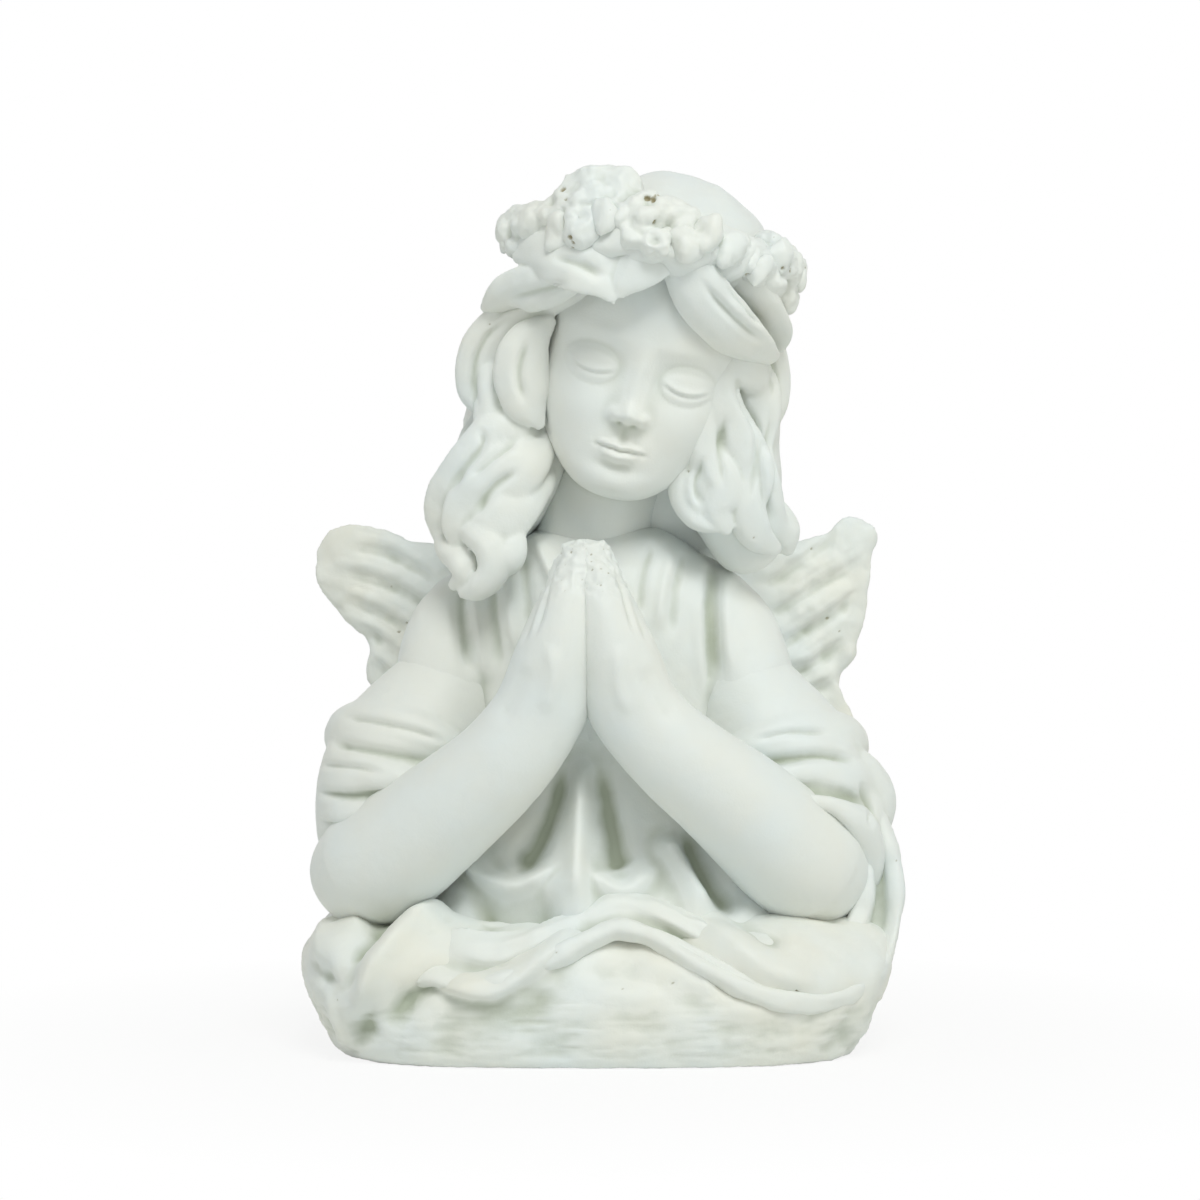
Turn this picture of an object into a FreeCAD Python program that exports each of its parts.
"""Praying angel figurine, a small white resin bust on a draped base, 120 mm high.

The figure is cast in keyed pieces that are glued together. A hollow draped base carries the torso on a
round spigot. The head drops into the neck on a steel pin, and the hair, the fringe and the flower wreath
are seated on it. The two praying arms stand on the base with an elbow pin each and meet palm to palm.
The gathered sleeves close round the arms, the wings are held to the back by two pins each, and a plate
closes the hollow underneath. Nothing moves.

Millimetres. +Z is up, the figure faces -Y, and the origin is the middle of the underside. Left and right
are the angel's own, so its right arm is on -X.
"""

import FreeCAD, Part
import math
import os

Vector, Rotation = FreeCAD.Vector, FreeCAD.Rotation

# ---- driving dimensions -------------------------------------------------------------------------------
BASE_HALF_WIDTH = 40.7      # widest half width of the draped base
BASE_HALF_DEPTH = 26.5      # widest half depth of the draped base
DECK_HEIGHT = 16.0          # top of the base, where the torso and the elbows stand
BASE_SQUARENESS = 2.7       # 2 would make the base an ellipse seen from above
HEM_RADIUS = 2.8            # rolled hem that hangs over the base
BASE_WALL = 4.5             # wall of the hollow base
DECK_THICKNESS = 5.0        # material left over the hollow
PLUG_THICKNESS = 2.5        # plate that closes the hollow
PLUG_RECESS = 0.6           # how far the plate lies above the resting rim
GLUE_GAP = 0.10             # play left for glue round the spigot and the plate

TORSO_RISE = 51.0           # deck to the top of the shoulders
TORSO_HALF_WIDTH = 20.5     # half width of the chest
TORSO_HALF_DEPTH = 12.5     # half depth of the chest
TORSO_SET_BACK = 4.0        # the torso stands this far behind the middle of the base
SHOULDER_HALF_SPAN = 19.5   # middle of the body to the middle of a shoulder
UPPER_ARM_RADIUS = 7.2      # upper arm with the cloth over it
SPIGOT_RADIUS = 10.0        # spigot on the deck that keys the torso
SPIGOT_HEIGHT = 6.0

ELBOW_HALF_SPAN = 29.0      # middle of the body to the middle of an elbow
ELBOW_RADIUS = 8.4
ELBOW_FLAT = 1.4            # how far an elbow is flattened where it stands on the deck
WRIST_RADIUS = 5.4
WRIST_RISE = 29.0           # deck to the wrists
HAND_HEIGHT = 25.0          # heel of the hand to the fingertips
HAND_HALF_DEPTH = 6.2       # half of a palm's width, which runs front to back
HAND_THICKNESS = 9.0        # one hand, palm to back, at the knuckles
PALM_PLANE_X = -2.0         # where the two palms meet
SLEEVE_THICKNESS = 3.4      # gathered cloth over the upper arm

HEAD_HEIGHT = 42.0          # chin to crown, without the hair
HEAD_WIDTH = 29.0
HEAD_DEPTH = 30.0
HEAD_ROLL = 15.0            # degrees, the crown leans towards the angel's left
HEAD_BOW = 9.0              # degrees, the crown leans forwards
NECK_RADIUS = 8.0
NECK_LENGTH = 9.0           # shoulders to the chin
HAIR_THICKNESS = 2.4        # hair over the skull
HAIR_HALF_WIDTH = 22.6      # half width of the loose hair beside the cheeks
LOCK_RADIUS = 5.0           # a hanging lock at its fullest

WREATH_RADIUS = 16.6        # middle of the wreath's band
WREATH_BAND_RADIUS = 2.6
WREATH_BAND_TOP = 1.6       # flat top of the band over its middle
FLOWER_RADIUS = 3.4
FLOWER_OVERHANG = 2.0       # a blossom's middle lies this far outside the band's
LEAF_RADIUS = 1.5
FLOWER_COUNT = 11
FIRST_FLOWER = -106.0       # degrees round the wreath, where -90 is over the brow

WING_SPAN = 38.8            # middle of the body to a wing's outer edge
WING_THICKNESS = 4.0
WING_SWEEP = 12.0           # degrees that each wing is swept back
WING_SEAT = 5.4             # how far the wings' plane lies inside the back, on the middle line
PIN_RADIUS = 1.0            # wing and elbow pins
NECK_PIN_RADIUS = 1.5

# ---- places worked out from them ----------------------------------------------------------------------
SHOULDER_HEIGHT = DECK_HEIGHT + TORSO_RISE
CHEST_FRONT_Y = TORSO_SET_BACK - TORSO_HALF_DEPTH
HAND_Y = CHEST_FRONT_Y - HAND_HALF_DEPTH - 3.6
ELBOW_HEIGHT = DECK_HEIGHT + ELBOW_RADIUS - ELBOW_FLAT
WRIST_HEIGHT = DECK_HEIGHT + WRIST_RISE
HEAD_TURN = Rotation(Vector(0, 1, 0), HEAD_ROLL) * Rotation(Vector(1, 0, 0), HEAD_BOW)
HEAD_UP = HEAD_TURN.multVec(Vector(0, 0, 1))
CHIN = Vector(1.0, TORSO_SET_BACK - 3.0, SHOULDER_HEIGHT + NECK_LENGTH)
HEAD_CENTRE = CHIN + HEAD_UP * (HEAD_HEIGHT / 2)
NECK_FOOT = Vector(-1.0, TORSO_SET_BACK - 0.5, SHOULDER_HEIGHT - 7.0)
WREATH_TURN = Rotation(Vector(0, 1, 0), 10.0) * Rotation(Vector(1, 0, 0), 3.0)
WREATH_CENTRE = HEAD_CENTRE + HEAD_UP * (HEAD_HEIGHT * 0.26)


# ---- ways of making a solid ---------------------------------------------------------------------------
def closed_curve(points):
    """A smooth closed wire through the points."""
    curve = Part.BSplineCurve()
    curve.interpolate(points, PeriodicFlag=True)
    return Part.Wire([curve.toShape()])


def level_ring(x, y, z, half_x, half_y, power=2.0, count=16):
    """A level superellipse: power 2 is an ellipse, and more is squarer."""
    points = []
    for step in range(count):
        turn = 2 * math.pi * (step + 0.5) / count
        c, s = math.cos(turn), math.sin(turn)
        points.append(Vector(x + half_x * math.copysign(abs(c) ** (2 / power), c),
                             y + half_y * math.copysign(abs(s) ** (2 / power), s), z))
    return closed_curve(points)


def loft(wires):
    """A closed solid through wires, with flat ends."""
    return Part.makeLoft(wires, True, False)


def tube(path, radii, flatness=1.0):
    """A solid through ovals set square to a path. flatness is the share of the radius left front to back."""
    wires = []
    for i, point in enumerate(path):
        before, after = path[max(i - 1, 0)], path[min(i + 1, len(path) - 1)]
        along = (after - before).normalize()
        depth = Vector(0, 1, 0) - along * along.y
        depth.normalize()
        across = along.cross(depth)
        oval = []
        for step in range(10):
            turn = 2 * math.pi * step / 10
            oval.append(point + across * (radii[i] * math.cos(turn))
                        + depth * (radii[i] * flatness * math.sin(turn)))
        wires.append(closed_curve(oval))
    return loft(wires)


def rod(start, along, length, radius):
    """A round rod."""
    return Part.makeCylinder(radius, length, start, along)


def mirrored(point):
    """The same point on the other side of the body."""
    return Vector(-point.x, point.y, point.z)


def in_head(x, y, z):
    """A point given from the head's middle, in the tilted head's own directions."""
    return HEAD_CENTRE + HEAD_TURN.multVec(Vector(x, y, z))


def egg(growth, levels):
    """A closed form round the head's axis. Each level is a height share, a width share, a depth share and
    how far its middle lies forwards. growth is what is added all round."""
    rings = []
    for height, wide, deep, forward in levels:
        rings.append(level_ring(0, -forward, height * (HEAD_HEIGHT / 2 + growth),
                                wide * (HEAD_WIDTH / 2 + growth), deep * (HEAD_DEPTH / 2 + growth), 2.1, 12))
    form = loft(rings)
    form.Placement = FreeCAD.Placement(HEAD_CENTRE, HEAD_TURN)
    return form


# ---- draped base ----------------------------------------------------------------------------------------
def base_ring(height, share, inset=0.0):
    return level_ring(0, 0, height, BASE_HALF_WIDTH * share - inset, BASE_HALF_DEPTH * share - inset,
                      BASE_SQUARENESS)


def base_block():
    """The outside of the base: a foot drawn in, a full belly and a shoulder that rolls in to the deck."""
    outside = loft([
        base_ring(0.0, 0.88),
        base_ring(DECK_HEIGHT * 0.28, 0.955),
        base_ring(DECK_HEIGHT * 0.62, 1.0),
        base_ring(DECK_HEIGHT * 0.86, 0.97),
        base_ring(DECK_HEIGHT, 0.90),
    ])
    spigot = rod(Vector(0, TORSO_SET_BACK, DECK_HEIGHT - 1), Vector(0, 0, 1), SPIGOT_HEIGHT + 1,
                 SPIGOT_RADIUS)
    hollow = loft([
        base_ring(-1.0, 0.88, BASE_WALL),
        base_ring(PLUG_RECESS + PLUG_THICKNESS, 0.88, BASE_WALL),
        base_ring(DECK_HEIGHT - DECK_THICKNESS, 0.80, BASE_WALL),
    ])
    return outside.fuse(spigot).cut(hollow)


def base_plug():
    """The plate that closes the hollow, a glue gap smaller all round."""
    return loft([
        base_ring(PLUG_RECESS, 0.88, BASE_WALL + GLUE_GAP),
        base_ring(PLUG_RECESS + PLUG_THICKNESS, 0.88, BASE_WALL + GLUE_GAP),
    ])


# ---- torso ----------------------------------------------------------------------------------------------
def torso_block():
    """The draped body from the deck to the neck, with both covered upper arms and the spigot's socket."""
    y = TORSO_SET_BACK
    w, d, h = TORSO_HALF_WIDTH, TORSO_HALF_DEPTH, TORSO_RISE
    body = loft([
        level_ring(0, y, DECK_HEIGHT, w + 5.5, d + 4.0, 2.3),
        level_ring(0, y, DECK_HEIGHT + 0.22 * h, w + 1.0, d + 1.5, 2.2),
        level_ring(0, y, DECK_HEIGHT + 0.55 * h, w, d, 2.2),
        level_ring(0, y, DECK_HEIGHT + 0.80 * h, w + 1.0, d, 2.2),
        level_ring(0, y, DECK_HEIGHT + 0.94 * h, w - 2.5, d - 1.5, 2.2),
        level_ring(-1, y, SHOULDER_HEIGHT, NECK_RADIUS + 3.0, NECK_RADIUS + 1.0),
    ])
    shoulder = Vector(-SHOULDER_HALF_SPAN + 3, y, SHOULDER_HEIGHT - 6.5)
    elbow = Vector(-ELBOW_HALF_SPAN + 1.5, y - 7.0, DECK_HEIGHT + 22.0)
    middle = (shoulder + elbow) * 0.5 + Vector(-1.5, 0, 2.0)
    radii = [UPPER_ARM_RADIUS - 1.2, UPPER_ARM_RADIUS, UPPER_ARM_RADIUS]
    right = tube([shoulder, middle, elbow], radii)
    left = tube([mirrored(shoulder), mirrored(middle), mirrored(elbow)], radii)
    socket = rod(Vector(0, y, DECK_HEIGHT - 1), Vector(0, 0, 1), SPIGOT_HEIGHT + 1 + GLUE_GAP,
                 SPIGOT_RADIUS + GLUE_GAP)
    return body.fuse([right, left]).cut(socket)


# ---- head and neck --------------------------------------------------------------------------------------
def head_block():
    """Skull, cheeks and chin as one egg, with a neck that runs down into the torso."""
    skull = egg(0.0, [(-1.0, 0.20, 0.16, 5.0), (-0.93, 0.42, 0.40, 4.4), (-0.72, 0.68, 0.66, 3.4),
                      (-0.40, 0.86, 0.86, 1.6), (0.0, 0.98, 1.0, 0.0), (0.30, 0.99, 1.0, -0.6),
                      (0.55, 0.88, 0.88, -0.8), (0.78, 0.68, 0.68, -0.8), (0.94, 0.38, 0.38, -0.8),
                      (1.0, 0.14, 0.14, -0.8)])
    neck = tube([NECK_FOOT, NECK_FOOT + Vector(0.5, -0.2, 9), in_head(0, 3.0, -8.0)],
                [NECK_RADIUS + 0.6, NECK_RADIUS - 0.4, NECK_RADIUS - 0.6])
    nose = Part.makeSphere(2.2, in_head(0, -HEAD_DEPTH * 0.45, -7.4))
    return skull.fuse([neck, nose])


def neck_pin():
    """Steel rod up the middle of the neck, half in the torso and half in the head."""
    return rod(NECK_FOOT - Vector(0, 0, 10), Vector(0, 0, 1), 24, NECK_PIN_RADIUS)


# ---- hair -----------------------------------------------------------------------------------------------
def side_hair(side):
    """Wavy hair that hangs from the temple, past the cheek, on to the shoulder. side is -1 right, +1 left."""
    out = side * (HAIR_HALF_WIDTH - LOCK_RADIUS)
    shoulder_y = TORSO_SET_BACK - TORSO_HALF_DEPTH * 0.45
    path = [in_head(side * HEAD_WIDTH * 0.42, -1.0, 9.0), HEAD_CENTRE + Vector(out - 2.6, -2.5, 1.0),
            HEAD_CENTRE + Vector(out - 3.4, -3.0, -7.0), HEAD_CENTRE + Vector(out * 0.94 - 4.4, -3.5, -15.0),
            Vector(side * SHOULDER_HALF_SPAN * 0.88, shoulder_y, SHOULDER_HEIGHT + 5.0),
            Vector(side * SHOULDER_HALF_SPAN * 0.92, shoulder_y, SHOULDER_HEIGHT - 4.0)]
    return tube(path, [LOCK_RADIUS * share for share in (0.62, 1.0, 1.04, 1.0, 1.0, 0.6)], 0.95)


def back_hair():
    """The cap over the skull and the long hair down the back, open at the face and round the neck."""
    cap = egg(HAIR_THICKNESS, [(-0.70, 0.80, 0.66, -3.4), (-0.30, 0.94, 0.88, -1.6),
                               (0.02, 0.99, 1.0, -0.4), (0.30, 1.0, 1.0, -0.6), (0.55, 0.89, 0.89, -0.8),
                               (0.78, 0.69, 0.69, -0.8), (0.94, 0.40, 0.40, -0.8), (1.0, 0.18, 0.18, -0.8)])
    fall = loft([
        level_ring(-0.5, TORSO_SET_BACK + 9.5, SHOULDER_HEIGHT - 13, 11.0, 4.4),
        level_ring(-0.5, TORSO_SET_BACK + 10.0, SHOULDER_HEIGHT - 5, 16.5, 6.4),
        level_ring(0.0, TORSO_SET_BACK + 8.0, SHOULDER_HEIGHT + 6, 20.0, 8.6),
        level_ring(2.6, TORSO_SET_BACK + 5.0, SHOULDER_HEIGHT + 20, 20.5, 10.4),
        level_ring(4.6, TORSO_SET_BACK + 2.5, SHOULDER_HEIGHT + 28, 18.0, 11.0),
        level_ring(7.0, TORSO_SET_BACK - 1.0, SHOULDER_HEIGHT + 38, 11.0, 9.0),
    ])
    forwards = HEAD_TURN.multVec(Vector(0, -1, 0))
    window = rod(in_head(0, -2.0, -6.0), forwards, 30, HEAD_WIDTH * 0.46)
    return cap.fuse(fall).cut(window)


def fringe_locks():
    """The front hair under the wreath: one broad lock swept to each side of the brow."""
    across = HEAD_WIDTH / 2
    front = -HEAD_DEPTH / 2
    right = tube([in_head(0.6, front + 0.8, 11.0), in_head(-across * 0.55, front + 1.6, 7.6),
                  in_head(-across * 0.98, front + 6.6, 4.6)], [2.2, 3.4, 2.6], 0.8)
    left = tube([in_head(4.6, front + 1.2, 11.0), in_head(across * 0.70, front + 2.2, 6.6),
                 in_head(across * 1.0, front + 7.2, 1.6)], [2.2, 3.4, 2.6], 0.8)
    return [right, left]


# ---- wreath ---------------------------------------------------------------------------------------------
def on_wreath(turn, outwards=0.0, up=0.0):
    """A point beside the band, at a turn in degrees from the angel's left, which passes the brow at -90."""
    radius = WREATH_RADIUS + outwards
    return WREATH_CENTRE + WREATH_TURN.multVec(
        Vector(radius * math.cos(math.radians(turn)), radius * math.sin(math.radians(turn)), up))


def wreath_band():
    """The band that carries the flowers: round underneath and flat on top."""
    r, half, top = WREATH_RADIUS, WREATH_BAND_RADIUS, WREATH_BAND_TOP
    under = Part.Arc(Vector(r - half, 0, 0), Vector(r, 0, -half), Vector(r + half, 0, 0)).toShape()
    sides = Part.makePolygon([Vector(r + half, 0, 0), Vector(r + half, 0, top), Vector(r - half, 0, top),
                              Vector(r - half, 0, 0)])
    band = Part.Face(Part.Wire([under] + sides.Edges)).revolve(Vector(0, 0, 0), Vector(0, 0, 1), 360)
    band.Placement = FreeCAD.Placement(WREATH_CENTRE, WREATH_TURN)
    return band


def wreath_flowers():
    """Blossoms spaced round the band, each a dome that stands on its flat top and overhangs it outwards."""
    upwards = WREATH_TURN.multVec(Vector(0, 0, 1))
    return [Part.makeSphere(FLOWER_RADIUS, on_wreath(FIRST_FLOWER + 360.0 * number / FLOWER_COUNT,
                                                     FLOWER_OVERHANG, WREATH_BAND_TOP), upwards, 0, 90, 360)
            for number in range(FLOWER_COUNT)]


def wreath_leaves():
    """A pointed leaf bud on the band between every two blossoms."""
    upwards = WREATH_TURN.multVec(Vector(0, 0, 1))
    return [Part.makeCone(LEAF_RADIUS, LEAF_RADIUS * 0.25, FLOWER_RADIUS,
                          on_wreath(FIRST_FLOWER + 360.0 * (number + 0.5) / FLOWER_COUNT,
                                    WREATH_BAND_RADIUS - LEAF_RADIUS, WREATH_BAND_TOP), upwards)
            for number in range(FLOWER_COUNT)]


# ---- praying arms ---------------------------------------------------------------------------------------
def elbow_place(side):
    """Middle of an elbow. side is -1 for the right arm and +1 for the left."""
    return Vector(side * ELBOW_HALF_SPAN - 1.2, CHEST_FRONT_Y + 1.0, ELBOW_HEIGHT)


def praying_arm(side):
    """Forearm and hand in one casting, flat where the palms meet and where the elbow stands on the deck."""
    elbow = elbow_place(side)
    wrist = Vector(PALM_PLANE_X + side * (WRIST_RADIUS + 1.0), HAND_Y, WRIST_HEIGHT)
    middle = (elbow + wrist) * 0.5 + Vector(side * 1.0, -2.0, -1.2)
    heel = wrist + Vector(-side * 1.4, 0, 5.0)
    outwards = (elbow - middle).normalize() * ELBOW_RADIUS
    forearm = tube([elbow + outwards * 0.86, elbow + outwards * 0.52, elbow, middle, wrist, heel],
                   [ELBOW_RADIUS * 0.42, ELBOW_RADIUS * 0.84, ELBOW_RADIUS,
                    (ELBOW_RADIUS + WRIST_RADIUS) / 2 + 0.6, WRIST_RADIUS, WRIST_RADIUS - 1.2])
    rings = []
    for share, thick, deep in ((0.0, 0.82, 0.84), (0.3, 1.0, 1.0), (0.5, 0.92, 1.0), (0.76, 0.56, 0.82),
                               (0.93, 0.38, 0.62), (1.0, 0.24, 0.40)):
        half = HAND_THICKNESS * thick / 2
        rings.append(level_ring(PALM_PLANE_X + side * half * 0.7, HAND_Y + 0.6 * share, WRIST_HEIGHT - 1.5
                                + HAND_HEIGHT * share, half * 1.3, HAND_HALF_DEPTH * deep, 2.2))
    other_side = Part.makeBox(60, 60, 90, Vector(PALM_PLANE_X - (0 if side < 0 else 60), HAND_Y - 30, 0))
    below_deck = Part.makeBox(60, 60, 20, Vector(side * ELBOW_HALF_SPAN - 30, -40, DECK_HEIGHT - 20))
    return forearm.fuse(loft(rings)).cut([other_side, below_deck])


def elbow_pins():
    """One steel pin up from the deck into each elbow."""
    return [rod(Vector(elbow_place(side).x, elbow_place(side).y, DECK_HEIGHT - 4.0), Vector(0, 0, 1), 11.0,
                PIN_RADIUS) for side in (-1, 1)]


def sleeve(side):
    """The gathered sleeve: soft rolls round the elbow, over the upper arm."""
    top = Vector(side * (ELBOW_HALF_SPAN - 3.4) - 0.6, CHEST_FRONT_Y + 5.4, DECK_HEIGHT + 29.5)
    foot = Vector(side * (ELBOW_HALF_SPAN + 0.6) - 0.8, CHEST_FRONT_Y + 3.4, DECK_HEIGHT + 8.0)
    full = UPPER_ARM_RADIUS + SLEEVE_THICKNESS
    steps = (0.0, 0.10, 0.28, 0.46, 0.64, 0.84, 1.0)
    swell = (-3.0, -1.0, 0.2, -0.7, 0.0, -1.4, -4.6)
    return tube([top + (foot - top) * s for s in steps], [full + s for s in swell], 0.95)


# ---- wings ----------------------------------------------------------------------------------------------
def wing_back(x):
    """How far back the wings' front face lies at a distance from the middle of the body."""
    return TORSO_SET_BACK + TORSO_HALF_DEPTH - WING_SEAT + abs(x) * math.tan(math.radians(WING_SWEEP))


def wing(side):
    """A swept plate cut to a feathered outline, its root let into the back. side is -1 right, +1 left."""
    root, tip = 8.0, WING_SPAN
    low, high = DECK_HEIGHT + 20.0, SHOULDER_HEIGHT + 4.5
    outline = [(root, high - 14), (root + 10, high - 5), (tip - 14, high - 4), (tip - 6, high),
               (tip, high - 4), (tip - 1, high - 12), (tip - 4, high - 19), (tip - 8, high - 24),
               (tip - 6, high - 29), (tip - 7, low), (tip - 16, low - 2), (root + 3, low + 6)]
    edge = closed_curve([Vector(side * x, wing_back(x), z) for x, z in outline])
    backwards = Rotation(Vector(0, 0, 1), side * WING_SWEEP).multVec(Vector(0, WING_THICKNESS, 0))
    return Part.Face(edge).extrude(backwards)


def wing_pins():
    """Two steel pins through each wing root into the back."""
    reach = 13.0
    return [rod(Vector(side * reach, wing_back(reach) + WING_THICKNESS * 0.6, z), Vector(0, -1, 0), 9.0,
                PIN_RADIUS) for side in (-1, 1) for z in (DECK_HEIGHT + 26.0, DECK_HEIGHT + 37.0)]


# ---- hem swag -------------------------------------------------------------------------------------------
def hem_swag():
    """The rolled hem that hangs in loops across the front of the base, turns the left corner and climbs
    past the left elbow to the left sleeve."""
    path = []
    for across, height in ((-0.72, 0.72), (-0.42, 0.56), (-0.12, 0.94), (0.10, 1.0), (0.36, 0.72),
                           (0.62, 0.50), (0.84, 0.62)):
        front = BASE_HALF_DEPTH * (1 - abs(across) ** BASE_SQUARENESS) ** (1 / BASE_SQUARENESS)
        path.append(Vector(across * BASE_HALF_WIDTH, HEM_RADIUS * 0.7 - front * 0.97, height * DECK_HEIGHT))
    x, y = BASE_HALF_WIDTH - HEM_RADIUS, CHEST_FRONT_Y
    path += [Vector(x - 0.8, y + 2.0, DECK_HEIGHT), Vector(x - 1.2, y + 5.5, DECK_HEIGHT + 9.0),
             Vector(x - 3.6, y + 7.0, DECK_HEIGHT + 18.0)]
    return tube(path, [HEM_RADIUS * share for share in (0.5, 0.9, 1.0, 1.0, 0.95, 0.95, 1.0, 1.0, 1.0, 0.7)])


# ---- assembly -------------------------------------------------------------------------------------------
PINS = ("neck_pin", "elbow_pins", "wing_pins")
ARMS = ("right_praying_arm", "left_praying_arm")
WINGS = ("right_wing", "left_wing")
SIDE_HAIR = ("right_side_hair", "left_side_hair")
SLEEVES = ("right_sleeve", "left_sleeve")
BLOSSOMS = ("wreath_flowers", "wreath_leaves")

# name, how it is made, and the pieces that it seats against: it is cut to their faces
PIECES = [
    ("neck_pin", neck_pin, ()),
    ("elbow_pins", elbow_pins, ()),
    ("wing_pins", wing_pins, ()),
    ("head", head_block, ("neck_pin",)),
    ("right_praying_arm", lambda: praying_arm(-1), ("elbow_pins",)),
    ("left_praying_arm", lambda: praying_arm(1), ("elbow_pins",)),
    ("right_wing", lambda: wing(-1), ("wing_pins",)),
    ("left_wing", lambda: wing(1), ("wing_pins",)),
    ("wreath_flowers", wreath_flowers, ()),
    ("wreath_leaves", wreath_leaves, ()),
    ("fringe_locks", fringe_locks, ("head",)),
    ("back_hair", back_hair, ("head", "fringe_locks", "wing_pins") + WINGS + BLOSSOMS),
    ("right_side_hair", lambda: side_hair(-1), ("head", "fringe_locks", "back_hair") + BLOSSOMS),
    ("left_side_hair", lambda: side_hair(1), ("head", "fringe_locks", "back_hair") + BLOSSOMS),
    ("wreath_band", wreath_band, ("head", "fringe_locks", "back_hair") + SIDE_HAIR),
    ("torso", torso_block, ("neck_pin", "wing_pins", "head", "back_hair") + SIDE_HAIR + ARMS + WINGS),
    ("right_sleeve", lambda: sleeve(-1), ("torso", "right_praying_arm", "right_wing")),
    ("left_sleeve", lambda: sleeve(1), ("torso", "left_praying_arm", "left_wing")),
    ("hem_swag", hem_swag, ("torso", "left_praying_arm", "left_sleeve")),
    ("draped_base", base_block, ("torso", "elbow_pins", "hem_swag") + ARMS + SLEEVES),
    ("base_plug", base_plug, ()),
]


def seated(name, castings, neighbours):
    """Each casting cut to the faces of the pieces that it seats against. A cut can free a crumb of a
    casting, which is left out and named."""
    kept = []
    for casting in castings:
        parts = sorted(casting.cut(neighbours).Solids if neighbours else casting.Solids,
                       key=lambda solid: solid.Volume)
        kept.append(parts.pop())
        for crumb in parts:
            print(f"  {name}: a crumb of {crumb.Volume:.2f} mm3 is cut away")
    return kept


def main():
    os.makedirs("parts", exist_ok=True)
    whole = {}
    for name, make, seats in PIECES:
        made = make()
        whole[name] = made if isinstance(made, list) else [made]
        solids = seated(name, whole[name], [shape for seat in seats for shape in whole[seat]])
        together = Part.makeCompound(solids)
        together.exportStep("parts/" + name + ".step")
        state = "" if all(solid.isValid() for solid in solids) else "NOT VALID"
        print(f"{name:20s} {len(solids):2d} solids, {together.Volume:9.1f} mm3 {state}", flush=True)


main()
